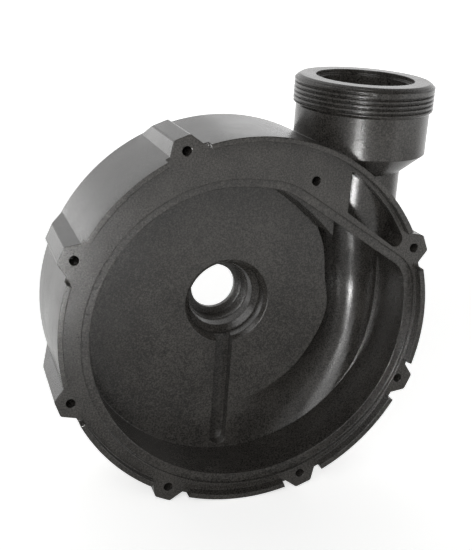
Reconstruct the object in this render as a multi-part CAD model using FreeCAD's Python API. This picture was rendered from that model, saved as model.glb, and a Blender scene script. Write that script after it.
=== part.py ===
import FreeCAD, Part
import math
import os

# Motor-side casing of a centrifugal pump: a one-piece moulded volute with a
# tangential threaded discharge.  Millimetres, +Z up along the discharge axis,
# the open mouth faces -Y and the motor sits on the +Y side.  The origin is the
# centre of the cover screw circle on the face of the screw lugs.
# Angles named "clock" are degrees clockwise from +Z, seen from the mouth.

# cover joint
coverCircleDia = 203.2
lugClocks = (67.5, 112.5, 157.5, 202.5, 247.5, 292.5, 337.5)
insetClock = 22.5
insetRadius = 84.0
screwHoleDia = 5.0
screwHoleDepth = 22.0
lugTipProud = 6.6
lugTipHalf = 4.6
lugCornerRound = 1.8
lugBaseHalf = 12.2
lugHeight = 11.7
bossLength = 44.0
bossTipProud = 4.8
bossRootDrop = 0.8

# drum and register rim
drumFrontRadius = 102.4
drumRearRadius = 100.3
lugTipRadius = drumFrontRadius + lugTipProud
bossTipRadius = drumFrontRadius + bossTipProud
drumDepth = 62.0
skirtInnerRadius = 96.3
rimHeight = 5.6
rimInnerRadius = 99.6
rimGapHalf = 11.6

# mouth: spiral wall closed by the straight web
mouthStartRadius = 73.8
mouthEndRadius = 93.3
mouthSpiralSweep = 260.0
mouthSpiralPower = 1.8
mouthSpiralSteps = 8
mouthStartClock = 24.0
mouthEndClock = 50.0
webClock = 32.5
webInset = 3.3
webDistance = mouthStartRadius - webInset
webTopRound = 40.0
webSideRound = 16.0
gasketWidth = 4.8
gasketDepth = 2.3
floorY = 34.5
floorThickness = 5.0
wallThickness = 4.5

# volute channel sunk in the floor
channelInnerRadius = 61.0
channelOuterRadius = 91.2
channelWideArc = 35.0
channelWallGap = 0.4
skirtOverlap = 3.0
channelEndClock = 172.0
channelEndDepth = 0.1
channelPower = 1.2
channelArcSteps = 4
channelLip = 0.5
# where it rises beside the tongue: height, left x, right x
channelRise = ((19.0, 57.6, 90.4), (36.0, 53.6, 89.0))
channelMeetZ = 44.0
channelStopZ = 54.0

# tongue shelf beside the throat
tongueY = 20.0
tongueDraft = 2.0
tongueTipZ = 36.0
tongueClock = 40.5
# the rounded edge of the shelf, x and z
tongueEdge = ((17.5, 70.2), (37.3, 56.3), (56.0, 38.6))
tongueBack = ((80.0, 60.0), (20.0, 95.0))

# discharge
outletX = 69.4
outletY = 32.2
throatRadius = 19.5
throatBottomZ = 46.0
neckRadius = 23.9
neckBottomZ = 30.0
neckTopZ = 77.5
headBottomZ = 88.5
headRadius = 36.4
threadRootRadius = 36.8
threadBottomZ = 111.4
outletTopZ = 126.6
outletLipRadius = 35.2
outletLeadIn = 1.0
outletBoreRadius = 24.3
outletSeatRadius = 26.8
outletSeatDepth = 2.4
headWeb = 4.0

# window beside the neck
windowLeftX = 52.0
windowRadius = 97.3
windowClock = 34.5
windowDistance = 78.9
windowFloorY = 47.0
windowRound = 4.0

# seal seat and shaft hole
hubRadius = 29.0
hubEndY = 63.3
recessRadius = 22.4
recessRound = 2.0
sealMouthRadius = 20.9
sealMouthY = 40.2
sealThroatRadius = 19.0
sealThroatY = 46.5
sealSeatY = 52.0
sealSeatRadius = 17.8
springRadius = 17.2
shaftStepY = 60.4
shaftRadius = 13.2

# drain groove in the floor
grooveWidth = 9.5
grooveDepth = 6.5
grooveEndZ = -88.7

# back of the casing
frontPlate = 5.5
coreRightX = 8.0
coreBottomZ = -20.0
ribCount = 8
ribThickness = 3.2
ribRearY = 58.0
motorClocks = (45.0, 135.0, 225.0, 315.0)
motorCircleRadius = 49.2
motorBossRadius = 8.0
motorHoleDia = 7.0
motorHoleDepth = 17.0

# how far a cutting solid runs past the face that it opens, and a length beyond the part
past = 1.0
beyond = 130.0
tiny = 0.01


def polar(radius, clock, y):
    """point at a radius and clock angle"""
    a = math.radians(clock)
    return FreeCAD.Vector(radius * math.sin(a), y, radius * math.cos(a))


def yCylinder(radius, y0, y1, x=0.0, z=0.0):
    return Part.makeCylinder(radius, y1 - y0, FreeCAD.Vector(x, y0, z), FreeCAD.Vector(0, 1, 0))


def prism(edges, y0, y1):
    """solid from edges drawn in the plane y0, pushed to y1"""
    face = Part.Face(Part.Wire(edges))
    return face.extrude(FreeCAD.Vector(0, y1 - y0, 0))


def arcEdge(radius, clockA, clockB, y):
    middle = polar(radius, (clockA + clockB) / 2, y)
    return Part.Arc(polar(radius, clockA, y), middle, polar(radius, clockB, y)).toShape()


def mouthRadius(sweep):
    """spiral wall radius, sweep in degrees counter-clockwise from the top"""
    left = max(0.0, 1.0 - sweep / mouthSpiralSweep)
    return mouthEndRadius - (mouthEndRadius - mouthStartRadius) * left ** mouthSpiralPower


def halfSpace(clock, distance, y0, y1):
    """block that fills everything beyond a line square to a clock direction"""
    block = Part.makeBox(2 * beyond, y1 - y0, beyond, FreeCAD.Vector(-beyond, y0, distance))
    block.rotate(FreeCAD.Vector(0, 0, 0), FreeCAD.Vector(0, 1, 0), clock)
    return block


def mouthPrism(grow, y0, y1):
    """the mouth outline grown outward by a margin and pushed along Y"""
    sweeps = [mouthSpiralSweep * i / mouthSpiralSteps for i in range(mouthSpiralSteps + 1)]
    curve = Part.BSplineCurve()
    curve.interpolate([polar(mouthRadius(s) + grow, -s, y0) for s in sweeps])
    start = polar(mouthStartRadius + grow, mouthStartClock, y0)
    end = polar(mouthEndRadius + grow, mouthEndClock, y0)
    outer = polar(beyond, webClock, y0)
    edges = [
        arcEdge(mouthStartRadius + grow, mouthStartClock, 0.0, y0),
        curve.toShape(),
        arcEdge(mouthEndRadius + grow, -mouthSpiralSweep, mouthEndClock - 360.0, y0),
        Part.LineSegment(end, outer).toShape(),
        Part.LineSegment(outer, start).toShape(),
    ]
    web = halfSpace(webClock, webDistance + grow, y0 - past, y1 + past)
    solid = prism(edges, y0, y1).cut(web)
    depth = y1 - y0
    top = [e for e in solid.Edges if isCorner(e, depth) and e.BoundBox.Center.x < outletX / 2]
    solid = solid.makeFillet(webTopRound + grow, top)
    side = [e for e in solid.Edges if isCorner(e, depth) and e.BoundBox.Center.x > outletX / 2]
    return solid.makeFillet(webSideRound + grow, side)


def isCorner(edge, depth):
    """a straight edge along Y where the web meets the spiral"""
    box = edge.BoundBox
    if box.YLength < depth - tiny or box.XLength > tiny or box.ZLength > tiny:
        return False
    a = math.radians(webClock)
    distance = box.Center.x * math.sin(a) + box.Center.z * math.cos(a)
    return webDistance - tiny < distance < webDistance + gasketWidth + tiny


def lugFace(clock):
    """front face of a screw lug: flat tip, sloping flanks, base inside the drum"""
    baseRadius = lugTipRadius - lugHeight
    out = polar(1, clock, 0)
    side = polar(1, clock + 90, 0)
    corners = [
        out * baseRadius - side * lugBaseHalf,
        out * lugTipRadius - side * lugTipHalf,
        out * lugTipRadius + side * lugTipHalf,
        out * baseRadius + side * lugBaseHalf,
    ]
    return Part.Face(Part.makePolygon(corners + corners[:1]))


def makeLug(clock):
    """screw lug whose boss runs back along the drum, leaning inward, with a sloped end"""
    lean = (bossTipRadius - lugTipRadius) * drumDepth / bossLength
    boss = lugFace(clock).extrude(polar(lean, clock, drumDepth))
    along = [e for e in boss.Edges if e.BoundBox.YLength > bossLength]
    tips = [e for e in along if math.hypot(e.CenterOfMass.x, e.CenterOfMass.z) > drumFrontRadius]
    boss = boss.makeFillet(lugCornerRound, tips)
    root = drumRearRadius - bossRootDrop
    slope = [
        polar(bossTipRadius, clock, bossLength),
        polar(root, clock, drumDepth),
        polar(root, clock, drumDepth + past),
        polar(beyond, clock, drumDepth + past),
        polar(beyond, clock, bossLength),
    ]
    across = polar(lugBaseHalf, clock + 90, 0)
    face = Part.Face(Part.makePolygon(slope + slope[:1]))
    face.translate(across * -1)
    return boss.cut(face.extrude(across * 2))


def makeDrum():
    """tapered drum with the proud register rim, broken at every lug"""
    back = FreeCAD.Vector(0, 1, 0)
    drum = Part.makeCone(drumFrontRadius, drumRearRadius, drumDepth, FreeCAD.Vector(), back)
    rim = yCylinder(drumFrontRadius, -rimHeight, 0)
    rim = rim.cut(yCylinder(rimInnerRadius, -rimHeight - past, past))
    rim = rim.cut([rimGap(clock) for clock in lugClocks])
    lugs = [makeLug(clock) for clock in lugClocks]
    return drum.fuse([rim] + lugs)


def rimGap(clock):
    """straight-sided gap cut in the rim in front of a lug"""
    size = FreeCAD.Vector(2 * rimGapHalf, rimHeight + past, beyond)
    gap = Part.makeBox(size.x, size.y, size.z, FreeCAD.Vector(-rimGapHalf, -size.y, 0))
    gap.rotate(FreeCAD.Vector(), FreeCAD.Vector(0, 1, 0), clock)
    return gap


def makeBackRecess():
    """open back: an annulus behind the floor and a crescent behind the front plate"""
    floorBack = floorY + floorThickness
    annulus = yCylinder(skirtInnerRadius, floorBack, drumDepth + past)
    crescent = yCylinder(skirtInnerRadius, frontPlate, floorBack + past)
    crescent = crescent.cut(mouthPrism(wallThickness, frontPlate - past, floorBack + 2 * past))
    corner = FreeCAD.Vector(-beyond, 0, coreBottomZ)
    crescent = crescent.common(Part.makeBox(beyond + coreRightX, drumDepth, 2 * beyond, corner))
    posts = [screwPost(coverCircleDia / 2, clock) for clock in lugClocks]
    return annulus.fuse(crescent).cut(posts)


def screwPost(radius, clock):
    """solid kept around a screw hole"""
    c = polar(radius, clock, 0)
    return yCylinder(screwHoleDia / 2 + wallThickness, past, screwHoleDepth + wallThickness, c.x, c.z)


def channelSection(origin, across, halfWidth, depth):
    """volute channel section: a circular trough hung from the floor plane"""
    down = FreeCAD.Vector(0, 1, 0)
    left = origin - across * halfWidth
    right = origin + across * halfWidth
    lift = down * -channelLip
    edges = [
        Part.Arc(left, origin + down * depth, right).toShape(),
        Part.LineSegment(right, right + lift).toShape(),
        Part.LineSegment(right + lift, left + lift).toShape(),
        Part.LineSegment(left + lift, left).toShape(),
    ]
    return Part.Wire(edges)


def makeChannel(grow, reach):
    """channel that starts shallow low on the right and deepens into the throat"""
    sections = []
    fullDepth = outletY + throatRadius - floorY
    span = channelEndClock - 90.0
    for i in range(channelArcSteps + 1):
        share = i / channelArcSteps
        clock = channelEndClock - span * share
        wide = min(1.0, (clock - 90.0) / channelWideArc)
        outer = channelOuterRadius + (mouthEndRadius - channelWallGap - channelOuterRadius) * wide + reach
        depth = channelEndDepth + (fullDepth - channelEndDepth) * share ** channelPower
        middle = polar((channelInnerRadius + outer) / 2, clock, floorY)
        half = (outer - channelInnerRadius) / 2
        sections.append(channelSection(middle, polar(1, clock, 0), half + grow, depth + grow))
    throatHalf = math.sqrt(throatRadius ** 2 - (floorY - outletY) ** 2)
    stations = [(z, (left + right) / 2, (right - left) / 2, fullDepth) for z, left, right in channelRise]
    stations.append((channelMeetZ, outletX, throatHalf, fullDepth))
    stations.append((channelStopZ, outletX, throatHalf - past, fullDepth - past))
    for z, x, half, depth in stations:
        origin = FreeCAD.Vector(x, floorY, z)
        sections.append(channelSection(origin, FreeCAD.Vector(1, 0, 0), half + grow, depth + grow))
    return Part.makeLoft(sections, True, False)


def outletAxisCylinder(radius, z0, z1):
    return Part.makeCylinder(radius, z1 - z0, FreeCAD.Vector(outletX, outletY, z0))


def revolveOutlet(profile):
    """solid of revolution about the discharge axis from radius and height pairs"""
    points = [FreeCAD.Vector(outletX + r, outletY, z) for r, z in profile]
    points.append(points[0])
    face = Part.Face(Part.makePolygon(points))
    return face.revolve(FreeCAD.Vector(outletX, outletY, 0), FreeCAD.Vector(0, 0, 1), 360)


def makeOutletOuter():
    """neck, flared head, root cylinder of the thread and its lead-in"""
    return revolveOutlet((
        (0, neckBottomZ),
        (neckRadius, neckBottomZ),
        (neckRadius, neckTopZ),
        (headRadius, headBottomZ),
        (headRadius, threadBottomZ),
        (threadRootRadius, threadBottomZ + threadRootRadius - headRadius),
        (threadRootRadius, outletTopZ - outletLeadIn),
        (outletLipRadius, outletTopZ),
        (0, outletTopZ),
    ))


def makeThroat():
    """water way from the chamber through the neck and the head"""
    bore = revolveOutlet((
        (0, throatBottomZ),
        (throatRadius, throatBottomZ),
        (throatRadius, neckTopZ + headWeb),
        (outletBoreRadius, headBottomZ + headWeb),
        (outletBoreRadius, outletTopZ - outletSeatDepth),
        (outletSeatRadius, outletTopZ - outletSeatDepth),
        (outletSeatRadius, outletTopZ + past),
        (0, outletTopZ + past),
    ))
    lower = outletAxisCylinder(throatRadius, tongueTipZ, throatBottomZ + past)
    frontHalf = Part.makeBox(beyond, floorY, beyond)
    return bore.fuse(lower.common(frontHalf))


def makeTongue():
    """shelf of the tongue between the web and the chamber wall below it"""
    wires = []
    for y, shift in ((tongueY, 0.0), (floorY + channelLip, tongueDraft)):
        inward = polar(-shift, tongueClock, y)
        start, middle, end = [FreeCAD.Vector(x, 0, z) + inward for x, z in tongueEdge]
        backRight, backTop = [FreeCAD.Vector(x, y, z) for x, z in tongueBack]
        edges = [
            Part.Arc(start, middle, end).toShape(),
            Part.LineSegment(end, backRight).toShape(),
            Part.LineSegment(backRight, backTop).toShape(),
            Part.LineSegment(backTop, start).toShape(),
        ]
        wires.append(Part.Wire(edges))
    return Part.makeLoft(wires, True, True)


def makeChamber():
    """impeller chamber with the gasket ledge round its mouth"""
    chamber = mouthPrism(0, -past, floorY).cut(makeTongue())
    ledge = mouthPrism(gasketWidth, -past, gasketDepth)
    return chamber.fuse(ledge)


def windowPrism(grow, y0, y1):
    """region between the web, the rim and a straight side next to the screw boss"""
    disc = yCylinder(windowRadius + grow, y0, y1)
    web = halfSpace(windowClock, windowDistance - grow, y0, y1)
    right = Part.makeBox(beyond, y1 - y0, beyond, FreeCAD.Vector(windowLeftX - grow, y0, 0))
    return disc.common(web).common(right)


def makeWindow():
    """pocket in front of the neck, with a rounded lower corner"""
    pocket = windowPrism(0, -past, windowFloorY)
    upright = [e for e in pocket.Edges if e.BoundBox.YLength > windowFloorY]
    corner = [e for e in upright if e.BoundBox.Center.x > outletX]
    pocket = pocket.makeFillet(windowRound, corner)
    return pocket.cut(outletAxisCylinder(neckRadius, 0, beyond))


def makeSealBore():
    """stepped seat for the shaft seal, open to the back"""
    profile = (
        (0, floorY - past),
        (recessRadius + recessRound, floorY - past),
        (recessRadius + recessRound, floorY),
        (recessRadius, floorY + recessRound),
        (sealMouthRadius, sealMouthY),
        (sealThroatRadius, sealThroatY),
        (sealSeatRadius, sealSeatY),
        (springRadius, sealSeatY),
        (springRadius, shaftStepY),
        (shaftRadius, shaftStepY),
        (shaftRadius, hubEndY + past),
        (0, hubEndY + past),
    )
    points = [FreeCAD.Vector(r, y, 0) for r, y in profile]
    points.append(points[0])
    face = Part.Face(Part.makePolygon(points))
    return face.revolve(FreeCAD.Vector(), FreeCAD.Vector(0, 1, 0), 360)


def makeGroove(grow, y1):
    """drain groove from the recess down to the chamber wall, round at its end"""
    half = grooveWidth / 2 + grow
    y0 = floorY - past
    endZ = grooveEndZ + grooveWidth / 2
    slot = Part.makeBox(2 * half, y1 - y0, -endZ - sealThroatRadius, FreeCAD.Vector(-half, y0, endZ))
    return slot.fuse(yCylinder(half, y0, y1, 0, endZ))


def makeBackSolids():
    """hub, ribs and motor bosses that stand in the open back"""
    y0 = floorY + floorThickness - past
    parts = [yCylinder(hubRadius, y0, hubEndY)]
    length = skirtInnerRadius + ribThickness - hubRadius
    for i in range(ribCount):
        start = FreeCAD.Vector(-ribThickness / 2, y0, hubRadius - past)
        rib = Part.makeBox(ribThickness, ribRearY - y0, length, start)
        rib.rotate(FreeCAD.Vector(), FreeCAD.Vector(0, 1, 0), 360.0 * i / ribCount)
        parts.append(rib)
    for clock in motorClocks:
        c = polar(motorCircleRadius, clock, 0)
        parts.append(yCylinder(motorBossRadius, y0, drumDepth, c.x, c.z))
    return parts


def makeScrewHoles():
    """blind pilot holes of the cover screws and of the motor screws"""
    centres = [polar(coverCircleDia / 2, clock, 0) for clock in lugClocks]
    centres.append(polar(insetRadius, insetClock, 0))
    holes = [yCylinder(screwHoleDia / 2, -past, screwHoleDepth, c.x, c.z) for c in centres]
    for clock in motorClocks:
        c = polar(motorCircleRadius, clock, 0)
        holes.append(yCylinder(motorHoleDia / 2, drumDepth - motorHoleDepth, drumDepth + past, c.x, c.z))
    return holes


def makeCasing():
    """drum and back first, then the walls round the water way, then the water way itself"""
    body = makeDrum().removeSplitter().cut(makeBackRecess())
    walls = makeBackSolids()
    walls.append(screwPost(insetRadius, insetClock))
    walls.append(makeGroove(wallThickness, floorY + grooveDepth + wallThickness))
    walls.append(makeChannel(wallThickness, skirtOverlap))
    walls.append(windowPrism(wallThickness, frontPlate, windowFloorY + wallThickness))
    walls.append(makeOutletOuter())
    for wall in walls:
        body = body.fuse(wall)
    hollows = [makeChamber(), makeChannel(0, 0), makeThroat(), makeSealBore(), makeWindow()]
    hollows.append(makeGroove(0, floorY + grooveDepth))
    for hollow in hollows + makeScrewHoles():
        body = body.cut(hollow)
    return body


os.makedirs("parts", exist_ok=True)
makeCasing().exportStep("parts/volute_casing.step")
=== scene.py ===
import math

import bmesh
import bpy
from mathutils import Matrix, Vector


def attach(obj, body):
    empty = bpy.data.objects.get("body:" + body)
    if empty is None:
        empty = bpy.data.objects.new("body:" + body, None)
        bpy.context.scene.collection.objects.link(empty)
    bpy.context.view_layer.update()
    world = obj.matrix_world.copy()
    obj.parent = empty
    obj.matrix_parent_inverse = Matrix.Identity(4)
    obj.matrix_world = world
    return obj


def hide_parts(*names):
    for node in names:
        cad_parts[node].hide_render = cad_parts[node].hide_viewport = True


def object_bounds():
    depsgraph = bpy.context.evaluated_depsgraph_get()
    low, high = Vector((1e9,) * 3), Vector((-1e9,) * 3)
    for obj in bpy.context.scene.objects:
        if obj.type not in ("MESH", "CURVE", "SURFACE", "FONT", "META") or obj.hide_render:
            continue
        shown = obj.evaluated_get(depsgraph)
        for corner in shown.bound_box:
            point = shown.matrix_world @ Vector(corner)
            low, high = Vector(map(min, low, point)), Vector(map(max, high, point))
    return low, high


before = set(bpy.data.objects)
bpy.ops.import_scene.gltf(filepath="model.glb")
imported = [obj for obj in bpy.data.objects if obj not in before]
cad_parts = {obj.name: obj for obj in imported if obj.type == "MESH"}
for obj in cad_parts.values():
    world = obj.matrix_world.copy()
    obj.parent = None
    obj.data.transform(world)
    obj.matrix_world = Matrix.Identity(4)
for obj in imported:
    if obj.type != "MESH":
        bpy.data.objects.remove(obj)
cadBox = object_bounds()

# sizes below are in millimetres unless a line says otherwise
mm = 0.001


def linearColour(hexText):
    # sRGB hex to the linear colour that a shader takes
    out = []
    for i in (1, 3, 5):
        c = int(hexText[i:i + 2], 16) / 255
        out.append(c / 12.92 if c <= 0.04045 else ((c + 0.055) / 1.055) ** 2.4)
    return (*out, 1.0)


# the photograph's view; target and distance in the frame
camera = {
    "azimuth": -20.113,         # degrees, 0 looks along +Y
    "elevation": 18.768,
    "roll": 4.204,
    "distance": 587.96,
    "target": (-8.44, 0.0, 27.71),
    "focalPixels": 1127.05,
    "imageLongSide": 550,
    "sensorWidth": 36,
    "clip": (0.02, 60),         # metres
}


def makeCamera():
    az, el, roll = (math.radians(camera[k]) for k in ("azimuth", "elevation", "roll"))
    back = Vector((math.sin(az) * math.cos(el), -math.cos(az) * math.cos(el), math.sin(el)))
    level = Vector((math.cos(az), math.sin(az), 0))
    rise = back.cross(level)
    right = level * math.cos(roll) + rise * math.sin(roll)
    up = rise * math.cos(roll) - level * math.sin(roll)
    data = bpy.data.cameras.new("camera")
    data.sensor_width = camera["sensorWidth"]
    data.lens = camera["focalPixels"] * data.sensor_width / camera["imageLongSide"]
    data.clip_start, data.clip_end = camera["clip"]
    obj = bpy.data.objects.new("camera", data)
    bpy.context.collection.objects.link(obj)
    turn = Matrix((right, up, back)).transposed().to_4x4()
    place = (Vector(camera["target"]) + back * camera["distance"]) * mm
    obj.matrix_world = Matrix.Translation(place) @ turn
    bpy.context.scene.camera = obj


makeCamera()
print("camera set")


def addNode(tree, kind, settings=None, links=None):
    # one node, its properties and sockets set by name, its inputs linked from (node, socket)
    node = tree.nodes.new(kind)
    for key, value in (settings or {}).items():
        if hasattr(node, key):
            setattr(node, key, value)
        else:
            node.inputs[key].default_value = value
    for key, (source, socket) in (links or {}).items():
        tree.links.new(source.outputs[socket], node.inputs[key])
    return node


def mapping(old, new=(0.0, 1.0), smooth=False):
    # settings of a Map Range node from one span to another
    kind = "SMOOTHSTEP" if smooth else "LINEAR"
    return {"interpolation_type": kind, "From Min": old[0], "From Max": old[1], "To Min": new[0], "To Max": new[1]}


def newMaterial(name):
    mat = bpy.data.materials.new(name)
    mat.use_nodes = True
    mat.node_tree.nodes.clear()
    return mat, mat.node_tree


# glass-filled polypropylene, injection moulded and left as it came from the mould:
# dark warm grey with cloudy flow marks, a fine fibre grain and a satin skin
glassFilledPlastic = {
    "dark": "#100f0e",
    "light": "#575450",
    # noises: size of one patch, then the node's own settings
    "cloud": (26.0, {"Detail": 4.0, "Roughness": 0.6}),
    "flow": (5.0, {"Detail": 3.0, "Roughness": 0.65}),
    "grain": (0.9, {"Detail": 2.0, "Roughness": 0.8}),      # real fibre grain is 0.3, coarser here so that it shows
    "smear": (34.0, {"Detail": 1.0, "Distortion": 1.2}),
    "flowShare": 0.35,
    "grainShare": 0.7,
    "colourTurns": (0.36, 0.64),
    "smearTurns": (0.25, 0.75),
    "roughness": (0.21, 0.265),     # in the smears
    "edgeRadius": 0.8,
    "edgeSamples": 6,
    "grainHeight": 0.11,
    "grainStrength": 0.7,
    "ior": 1.5,
}


def makeGlassFilledPlastic():
    p = glassFilledPlastic
    mat, tree = newMaterial("glassFilledPlastic")
    place = addNode(tree, "ShaderNodeTexCoord")
    cloud, flow, grain, smear = (
        addNode(tree, "ShaderNodeTexNoise", {"Scale": 1 / (p[k][0] * mm), **p[k][1]}, {"Vector": (place, "Object")})
        for k in ("cloud", "flow", "grain", "smear"))
    marks = addNode(tree, "ShaderNodeMix", {"data_type": "FLOAT", "Factor": p["flowShare"]},
                    {"A": (cloud, "Fac"), "B": (flow, "Fac")})
    skin = addNode(tree, "ShaderNodeMix", {"data_type": "FLOAT", "Factor": p["grainShare"]},
                   {"A": (marks, "Result"), "B": (grain, "Fac")})
    colour = addNode(tree, "ShaderNodeValToRGB", None, {"Fac": (skin, "Result")})
    for stop, position, tone in zip(colour.color_ramp.elements, p["colourTurns"], ("dark", "light")):
        stop.position = position
        stop.color = linearColour(p[tone])
    gloss = addNode(tree, "ShaderNodeMapRange", mapping(p["smearTurns"], p["roughness"]), {"Value": (smear, "Fac")})
    edge = addNode(tree, "ShaderNodeBevel", {"Radius": p["edgeRadius"] * mm, "samples": p["edgeSamples"]})
    bump = addNode(tree, "ShaderNodeBump", {"Strength": p["grainStrength"], "Distance": p["grainHeight"] * mm},
                   {"Height": (skin, "Result"), "Normal": (edge, "Normal")})
    shader = addNode(tree, "ShaderNodeBsdfPrincipled", {"IOR": p["ior"]},
                     {"Base Color": (colour, "Color"), "Roughness": (gloss, "Result"), "Normal": (bump, "Normal")})
    addNode(tree, "ShaderNodeOutputMaterial", None, {"Surface": (shader, "BSDF")})
    return mat


plastic = makeGlassFilledPlastic()
print("plastic mixed")


def linkPiece(name, bm, material):
    mesh = bpy.data.meshes.new(name)
    bm.to_mesh(mesh)
    bm.free()
    mesh.materials.append(material)
    obj = bpy.data.objects.new(name, mesh)
    bpy.context.collection.objects.link(obj)
    return obj


def shadeByAngle(bm, degrees):
    limit = math.radians(degrees)
    for face in bm.faces:
        face.smooth = True
    for edge in bm.edges:
        edge.smooth = edge.calc_face_angle(0) < limit


casing = {
    "mergeDistance": 0.002,
    "smoothAngle": 26,
    # seal pocket behind its rounded lip: straight wall, then an open cone (radius, depth)
    "pocket": [(0, 36.0), (22.5, 36.2), (22.4, 36.5), (22.35, 43.9), (19.0, 46.5), (0, 46.5)],
    "pocketSteps": 128,
    "crispRings": [(22.4, 36.5), (22.35, 43.9), (19.0, 46.5), (17.8, 52.0)],
    "ringReach": 0.06,          # an edge this near a ring is on it
    "flatFacesWeight": 100,
}


def makePocketCutter():
    bm = bmesh.new()
    verts = [bm.verts.new((r * mm, y * mm, 0)) for r, y in casing["pocket"]]
    edges = [bm.edges.new(pair) for pair in zip(verts, verts[1:])]
    bmesh.ops.spin(bm, geom=verts + edges, cent=(0, 0, 0), axis=(0, 1, 0), angle=2 * math.pi,
                   steps=casing["pocketSteps"], use_merge=True, use_duplicate=False)
    bmesh.ops.remove_doubles(bm, verts=bm.verts, dist=casing["mergeDistance"] * mm)
    bmesh.ops.recalc_face_normals(bm, faces=bm.faces)
    return linkPiece("pocket_cutter", bm, plastic)


def cutPocket(obj):
    # open the seal pocket to its full steep wall, then throw the cutter away
    cutter = makePocketCutter()
    cut = obj.modifiers.new("sealPocket", "BOOLEAN")
    cut.operation = "DIFFERENCE"
    cut.solver = "EXACT"
    cut.object = cutter
    seen = obj.evaluated_get(bpy.context.evaluated_depsgraph_get())
    bm = bmesh.new()
    bm.from_mesh(seen.to_mesh())
    seen.to_mesh_clear()
    obj.modifiers.remove(cut)
    bpy.data.objects.remove(cutter)
    return bm


def markCrispRings(bm):
    # the pocket's ledges keep sharp edges although they meet at shallow angles
    for edge in bm.edges:
        for r, y in casing["crispRings"]:
            far = max(math.hypot(math.hypot(v.co.x, v.co.z) - r * mm, v.co.y - y * mm) for v in edge.verts)
            if far < casing["ringReach"] * mm:
                edge.smooth = False


def makeCasing():
    # the moulding itself: the solid's own surface, joined up so that curved walls shade smoothly
    bm = bmesh.new()
    bm.from_mesh(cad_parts["volute_casing"].data)
    bmesh.ops.remove_doubles(bm, verts=bm.verts, dist=casing["mergeDistance"] * mm)
    bmesh.ops.dissolve_degenerate(bm, edges=bm.edges, dist=casing["mergeDistance"] * mm)
    for face in bm.faces:
        face.material_index = 0
    obj = linkPiece("casing_moulding", bm, plastic)
    bm = cutPocket(obj)
    bmesh.ops.remove_doubles(bm, verts=bm.verts, dist=casing["mergeDistance"] * mm)
    shadeByAngle(bm, casing["smoothAngle"])
    markCrispRings(bm)
    bm.to_mesh(obj.data)
    bm.free()
    weigh = obj.modifiers.new("flatFacesFirst", "WEIGHTED_NORMAL")
    weigh.keep_sharp = True
    weigh.weight = casing["flatFacesWeight"]
    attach(obj, "root")
    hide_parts("volute_casing")


makeCasing()
print("casing joined")


# outside thread for the union nut, cut into a raised band on the discharge head
thread = {
    "axis": (69.4, 32.2),
    "crestRadius": 38.0,
    "rootRadius": 36.9,
    "spigotRadius": 36.42,
    "innerRadius": 36.0,
    "topZ": 124.4,              # crest ends, lead-in cone to the spigot's own lead-in
    "leadInZ": 125.6,
    "bottomZ": 112.0,           # crest ends, back cone down to the spigot
    "backConeZ": 110.4,
    "pitch": 2.49,
    "crestFlat": 1.25,
    "rootFlat": 0.3,
    "startAngle": -15.9,        # degrees from the front, towards +X
    "startZ": 123.2,
    "turns": 4.6,
    "runOut": 6.0,              # degrees over which the groove rises to the crest
    "stepsPerTurn": 120,
    "spareTurns": 2,            # wound above and below the band, then trimmed off
    "smoothAngle": 24,
    "mergeDistance": 0.001,
    "crestReach": 0.01,         # nearer the crest than this counts as crest
}


def grooveDepth(turn):
    # 1 inside the cut groove, 0 on the plain band, with a short run-out
    t = thread
    ramp = t["runOut"] / 360
    return max(0.0, min(1.0, turn / ramp, (t["turns"] - turn) / ramp))


def makeThread():
    t = thread
    cx, cy = t["axis"]
    start = math.radians(t["startAngle"])
    halfGroove = (t["pitch"] - t["crestFlat"]) / 2
    # one pitch of the thread, drawn at the front and wound down in a right-hand helix
    profile = [
        (t["crestRadius"], t["pitch"] / 2),
        (t["crestRadius"], halfGroove),
        (t["rootRadius"], t["rootFlat"] / 2),
        (t["rootRadius"], -t["rootFlat"] / 2),
        (t["crestRadius"], -halfGroove),
        (t["crestRadius"], -t["pitch"] / 2),
    ]
    above = t["spareTurns"]
    wound = above + math.ceil(t["turns"]) + t["spareTurns"]
    topCentre = t["startZ"] + above * t["pitch"]
    bm = bmesh.new()
    verts = [bm.verts.new((math.sin(start) * r, -math.cos(start) * r, topCentre + z)) for r, z in profile]
    edges = [bm.edges.new(pair) for pair in zip(verts, verts[1:])]
    steps = wound * t["stepsPerTurn"]
    bmesh.ops.spin(bm, geom=verts + edges, cent=(0, 0, 0), axis=(0, 0, 1), angle=-wound * 2 * math.pi,
                   steps=steps, dvec=(0, 0, -t["pitch"] / t["stepsPerTurn"]), use_duplicate=False)
    # fill the groove up to the crest outside its cut length
    for v in bm.verts:
        r = math.hypot(v.co.x, v.co.y)
        if r > t["crestRadius"] - t["crestReach"]:
            continue
        swept = (start - math.atan2(v.co.x, -v.co.y)) / (2 * math.pi) % 1.0
        turn = round((topCentre - v.co.z) / t["pitch"] - swept) + swept - above
        full = t["crestRadius"] - (t["crestRadius"] - t["rootRadius"]) * grooveDepth(turn)
        v.co.x *= full / r
        v.co.y *= full / r
    bmesh.ops.remove_doubles(bm, verts=bm.verts, dist=t["mergeDistance"])
    for z, upper in ((t["topZ"], True), (t["bottomZ"], False)):
        geom = bm.verts[:] + bm.edges[:] + bm.faces[:]
        bmesh.ops.bisect_plane(bm, geom=geom, dist=t["mergeDistance"] / 10, plane_co=(0, 0, z), plane_no=(0, 0, 1),
                               clear_outer=upper, clear_inner=not upper)
    closeBand(bm)
    bmesh.ops.recalc_face_normals(bm, faces=bm.faces)
    bmesh.ops.translate(bm, vec=(cx, cy, 0), verts=bm.verts)
    bmesh.ops.scale(bm, vec=(mm, mm, mm), verts=bm.verts)
    shadeByAngle(bm, t["smoothAngle"])
    obj = linkPiece("union_thread", bm, plastic)
    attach(obj, "root")


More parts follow.
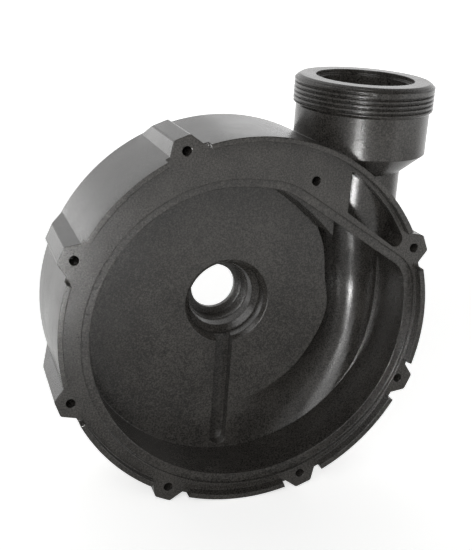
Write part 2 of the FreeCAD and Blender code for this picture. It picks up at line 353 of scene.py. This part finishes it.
def openLoops(bm):
    edges = [e for e in bm.edges if e.is_boundary]
    top = [e for e in edges if e.verts[0].co.z > (thread["topZ"] + thread["bottomZ"]) / 2]
    low = [e for e in edges if e not in top]
    return top, low


def drawIn(bm, edges, radius, z):
    # extrude an open loop to a new radius and height
    out = bmesh.ops.extrude_edge_only(bm, edges=edges)["geom"]
    for v in out:
        if isinstance(v, bmesh.types.BMVert):
            r = math.hypot(v.co.x, v.co.y)
            v.co = Vector((v.co.x * radius / r, v.co.y * radius / r, z))


def closeBand(bm):
    t = thread
    for radius, upperZ, lowerZ in ((t["spigotRadius"], t["leadInZ"], t["backConeZ"]),
                                   (t["innerRadius"], t["leadInZ"], t["backConeZ"])):
        top, low = openLoops(bm)
        drawIn(bm, top, radius, upperZ)
        drawIn(bm, low, radius, lowerZ)
    top, low = openLoops(bm)
    bmesh.ops.bridge_loops(bm, edges=top + low)


makeThread()
print("thread wound")


def seenAsBackground(tree, behind):
    # 1 for rays that show the white background itself: to the camera, through clear parts,
    # and in gloss where the mirrored place lies behind the object
    ray = addNode(tree, "ShaderNodeLightPath")
    gloss = addNode(tree, "ShaderNodeMath", {"operation": "MULTIPLY"}, {0: (ray, "Is Glossy Ray"), 1: (behind, 0)})
    clear = addNode(tree, "ShaderNodeMath", {"operation": "MAXIMUM"},
                    {0: (ray, "Is Camera Ray"), 1: (ray, "Is Transmission Ray")})
    return addNode(tree, "ShaderNodeMath", {"operation": "MAXIMUM"}, {0: (clear, 0), 1: (gloss, 0)})


# a plain pale floor under the lowest lugs, white to the camera where nothing shades it
floor = {
    "halfWidth": 9000,
    "below": 0.4,
    "colour": "#f2f2f0",
    "glow": (0.66, 1.0),        # what the camera sees on top of the light that falls on it, near and far
    "farFrom": (0.4, 1.1),      # metres from the object where near turns to far
    "brightFrom": (-0.1, 0.35),  # metres behind the object where gloss begins to show that white
}


def makeFloor():
    f = floor
    mat, tree = newMaterial("paleFloorPaper")
    paper = addNode(tree, "ShaderNodeBsdfDiffuse", {"Color": linearColour(f["colour"])})
    place = addNode(tree, "ShaderNodeTexCoord")
    parts = addNode(tree, "ShaderNodeSeparateXYZ", None, {"Vector": (place, "Object")})
    behind = addNode(tree, "ShaderNodeMapRange", mapping(f["brightFrom"], smooth=True), {"Value": (parts, "Y")})
    away = addNode(tree, "ShaderNodeVectorMath", {"operation": "LENGTH"}, {0: (place, "Object")})
    lift = addNode(tree, "ShaderNodeMapRange", mapping(f["farFrom"], f["glow"], True), {"Value": (away, "Value")})
    shown = seenAsBackground(tree, behind)
    share = addNode(tree, "ShaderNodeMath", {"operation": "MULTIPLY"}, {0: (lift, 0), 1: (shown, 0)})
    glow = addNode(tree, "ShaderNodeEmission", {"Color": (1, 1, 1, 1)}, {"Strength": (share, 0)})
    seen = addNode(tree, "ShaderNodeAddShader", None, {0: (paper, 0), 1: (glow, 0)})
    addNode(tree, "ShaderNodeOutputMaterial", None, {"Surface": (seen, 0)})
    bm = bmesh.new()
    bmesh.ops.create_grid(bm, x_segments=1, y_segments=1, size=f["halfWidth"] * mm)
    bmesh.ops.translate(bm, vec=(0, 0, cadBox[0][2] - f["below"] * mm), verts=bm.verts)
    obj = linkPiece("floor", bm, mat)


makeFloor()
print("floor laid")


# light tent: bright behind and above, dimmer on the camera's side
tent = {
    "behind": "#ffffff",
    "front": "#161618",
    "turnsBright": (0.05, 0.8),  # how far behind the object the wall turns from dim to bright
    "strength": 1.0,
    "seen": 1.0,
}

# soft lamps: size and place in metres, power in watts; the reflectors show in gloss only
lamps = {
    "stripHigh": {"place": (-0.27, -0.66, 0.07), "size": (0.16, 0.22), "power": 0.5, "reflector": True},
    "stripLow": {"place": (-0.105, -0.33, -0.05), "size": (0.05, 0.1), "power": 1.15, "reflector": True},
    "lowCard": {"place": (0.1, -0.3, -0.05), "size": (0.5, 0.2), "power": 0.17, "reflector": True},
    "softFront": {"place": (-0.75, -1.2, 0.75), "size": (1.2, 1.2), "power": 12},
    "softRight": {"place": (1.3, -0.6, 0.1), "size": (1.5, 0.8), "power": 7},
    "softBack": {"place": (-0.95, 1.3, -0.12), "size": (2.2, 0.6), "power": 2.8},
    "softTop": {"place": (0.85, 1.5, 0.42), "size": (0.9, 0.5), "power": 0.45},
}


def makeTent():
    world = bpy.data.worlds.new("lightTent")
    bpy.context.scene.world = world
    world.use_nodes = True
    tree = world.node_tree
    tree.nodes.clear()
    place = addNode(tree, "ShaderNodeTexCoord")
    parts = addNode(tree, "ShaderNodeSeparateXYZ", None, {"Vector": (place, "Generated")})
    turn = addNode(tree, "ShaderNodeMapRange", mapping(tent["turnsBright"], smooth=True), {"Value": (parts, "Y")})
    shade = addNode(tree, "ShaderNodeMix", {"data_type": "RGBA"}, {"Factor": (turn, "Result")})
    shade.inputs[6].default_value = linearColour(tent["front"])     # the colour pair of a Mix node
    shade.inputs[7].default_value = linearColour(tent["behind"])
    around = addNode(tree, "ShaderNodeBackground", {"Strength": tent["strength"]}, {"Color": (shade, 2)})
    white = addNode(tree, "ShaderNodeBackground", {"Color": (1, 1, 1, 1), "Strength": tent["seen"]})
    shown = seenAsBackground(tree, turn)
    seen = addNode(tree, "ShaderNodeMixShader", None, {0: (shown, 0), 1: (around, 0), 2: (white, 0)})
    addNode(tree, "ShaderNodeOutputWorld", None, {"Surface": (seen, 0)})


def makeLamps():
    for name, lamp in lamps.items():
        data = bpy.data.lights.new(name, "AREA")
        data.shape = "RECTANGLE"
        data.size, data.size_y = lamp["size"]
        data.energy = lamp["power"]
        obj = bpy.data.objects.new(name, data)
        bpy.context.collection.objects.link(obj)
        place = Vector(lamp["place"])
        obj.location = place
        obj.rotation_mode = "QUATERNION"
        obj.rotation_quaternion = place.to_track_quat("Z", "Y")
        obj.visible_diffuse = not lamp.get("reflector", False)


makeTent()
makeLamps()
bpy.context.scene.view_settings.view_transform = "Standard"
print("lights on")
